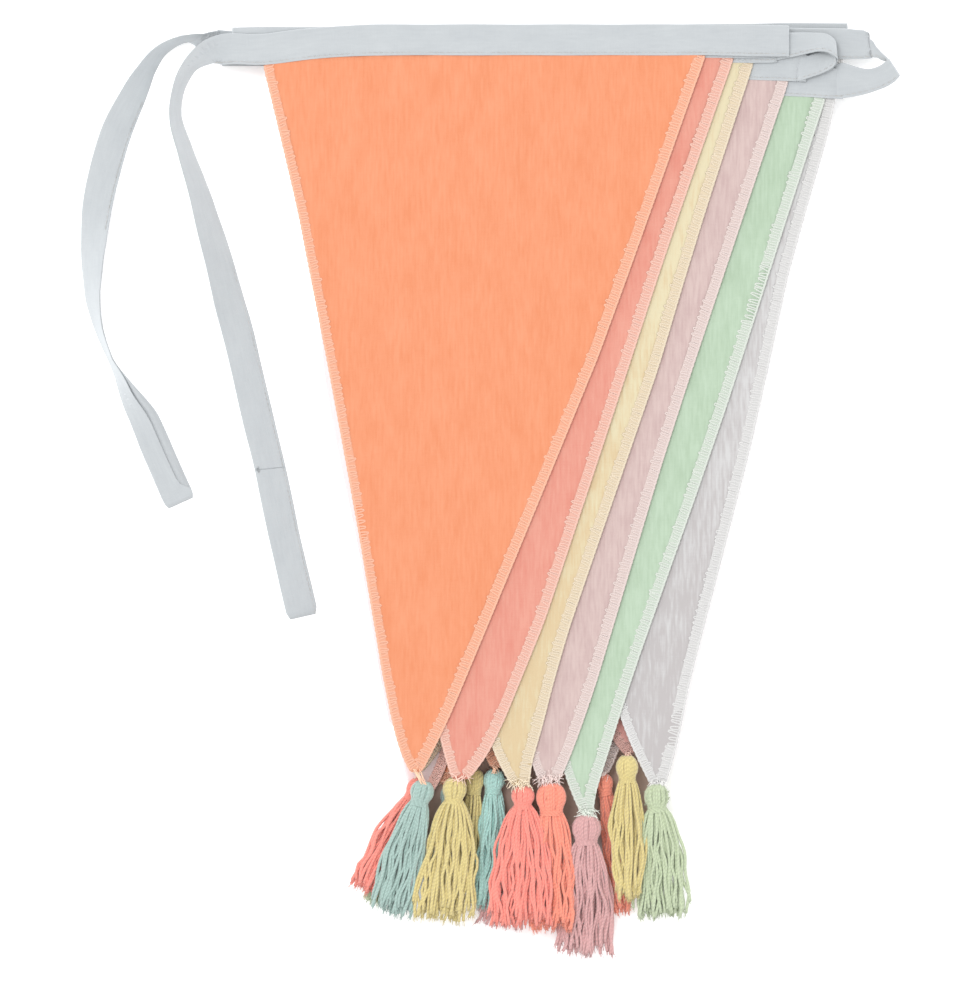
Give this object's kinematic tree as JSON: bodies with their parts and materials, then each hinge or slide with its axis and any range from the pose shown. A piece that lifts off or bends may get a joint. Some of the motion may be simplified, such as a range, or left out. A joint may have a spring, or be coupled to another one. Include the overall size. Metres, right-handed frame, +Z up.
{
  "type": "fabric bunting, folded flat",
  "caption": "Cotton pennant bunting folded flat, pennant on pennant, with overlocked edges, yarn tassels and a tape with two free ties.",
  "frame": {"origin": "centre of the bounding box in plan, at the surface that the bunting lies on", "axes": "+Z up, +Y from the tassels to the tape, +X to the right as seen from above with the tape at the top"},
  "size_m": [0.3988, 0.4496, 0.0226],
  "materials": {
    "tape": "matte cotton binding, folded and edge-stitched",
    "cloth_orange": "matte plain-woven cotton",
    "cloth_coral": "matte plain-woven cotton",
    "cloth_yellow": "matte plain-woven cotton",
    "cloth_mauve": "matte plain-woven cotton",
    "cloth_green": "matte plain-woven cotton",
    "cloth_grey": "matte plain-woven cotton",
    "yarn_teal": "soft twisted cotton yarn",
    "yarn_yellow": "soft twisted cotton yarn",
    "yarn_coral": "soft twisted cotton yarn",
    "yarn_orange": "soft twisted cotton yarn",
    "yarn_lilac": "soft twisted cotton yarn",
    "yarn_green": "soft twisted cotton yarn",
    "stitching": "matte overlock thread"
  },
  "bodies": {
    "root": {"tape": "tape", "pennant_01_orange": "cloth_orange", "pennant_02_coral": "cloth_coral", "pennant_03_yellow": "cloth_yellow", "pennant_04_mauve": "cloth_mauve", "pennant_05_green": "cloth_green", "pennant_06_grey": "cloth_grey", "pennant_07_orange": "cloth_orange", "pennant_08_coral": "cloth_coral", "pennant_09_yellow": "cloth_yellow", "pennant_10_mauve": "cloth_mauve", "pennant_11_green": "cloth_green", "pennant_12_grey": "cloth_grey", "pennant_13_orange": "cloth_orange", "pennant_14_coral": "cloth_coral", "tassel_01_teal": "yarn_teal", "tassel_02_yellow": "yarn_yellow", "tassel_03_coral": "yarn_coral", "tassel_04_orange": "yarn_orange", "tassel_05_lilac": "yarn_lilac", "tassel_06_green": "yarn_green", "tassel_07_teal": "yarn_teal", "tassel_08_yellow": "yarn_yellow", "tassel_09_coral": "yarn_coral", "tassel_10_orange": "yarn_orange", "tassel_11_lilac": "yarn_lilac", "tassel_12_green": "yarn_green", "tassel_13_teal": "yarn_teal", "tassel_14_yellow": "yarn_yellow"}
  },
  "joints": []
}
